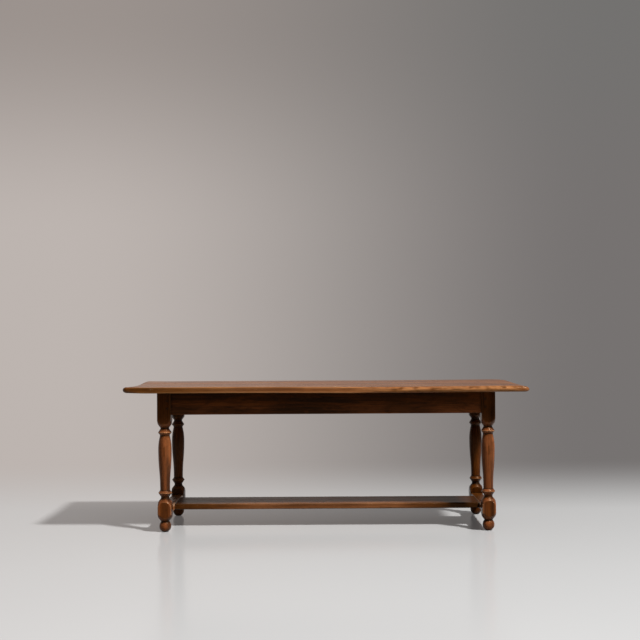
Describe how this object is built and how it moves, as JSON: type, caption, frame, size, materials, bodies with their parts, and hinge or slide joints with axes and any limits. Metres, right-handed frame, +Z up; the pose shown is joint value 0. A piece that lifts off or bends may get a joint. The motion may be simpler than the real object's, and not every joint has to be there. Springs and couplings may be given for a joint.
{
  "type": "farm table",
  "caption": "Long oak farm table: plank top with rounded edges on turned baluster legs with ball feet, plain pegged aprons, and a low H stretcher with a wide flat centre board.",
  "frame": {"origin": "on the floor, under the middle of the top", "axes": "+X along the length of the top, to the right seen from the front; +Y from the front to the rear; +Z up"},
  "size_m": [2.1, 0.76, 0.76],
  "materials": {
    "top_oak": "old waxed oak, worn and slightly greyed, satin",
    "leg_oak": "old waxed oak, orange brown with worn arrises, satin",
    "apron_oak": "old stained oak, dark brown, satin",
    "stretcher_oak": "old waxed oak, foot-worn, satin",
    "peg_oak": "dark end grain"
  },
  "bodies": {
    "root": {"front_board": "top_oak", "front_inner_board": "top_oak", "rear_inner_board": "top_oak", "rear_board": "top_oak", "front_tongue": "top_oak", "middle_tongue": "top_oak", "rear_tongue": "top_oak", "front_left_leg": "leg_oak", "front_right_leg": "leg_oak", "rear_left_leg": "leg_oak", "rear_right_leg": "leg_oak", "front_apron": "apron_oak", "rear_apron": "apron_oak", "left_apron": "apron_oak", "right_apron": "apron_oak", "left_bearer": "apron_oak", "right_bearer": "apron_oak", "left_stretcher": "stretcher_oak", "right_stretcher": "stretcher_oak", "centre_stretcher": "stretcher_oak", "apron_pegs": "peg_oak", "stretcher_pegs": "peg_oak", "centre_stretcher_pegs": "peg_oak", "top_pegs": "peg_oak"}
  },
  "joints": []
}
